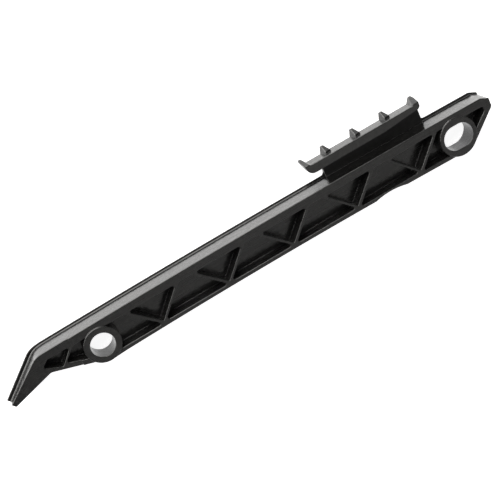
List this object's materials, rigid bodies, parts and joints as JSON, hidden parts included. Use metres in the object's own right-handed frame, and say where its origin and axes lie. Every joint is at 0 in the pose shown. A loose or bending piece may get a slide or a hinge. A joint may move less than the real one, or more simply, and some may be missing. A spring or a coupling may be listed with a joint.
{
  "type": "timing chain guide",
  "caption": "Moulded guide rail with a round and a slotted fixing bore, a lipped running face for a timing chain, truss ribs on one side and a bracket that keeps the chain down.",
  "frame": {"origin": "axis of the round pivot bore, in the plane of the seat ring that is sunk into the back", "axes": "+X along the rail from the pivot bore to the slotted bore, +Y the way the running face looks, +Z out of the back towards the deeply ribbed side"},
  "size_m": [0.2734, 0.0377, 0.0125],
  "materials": {
    "moulding": "black glass-filled polyamide, satin as moulded"
  },
  "bodies": {
    "root": {"guide_rail": "moulding"}
  },
  "joints": []
}
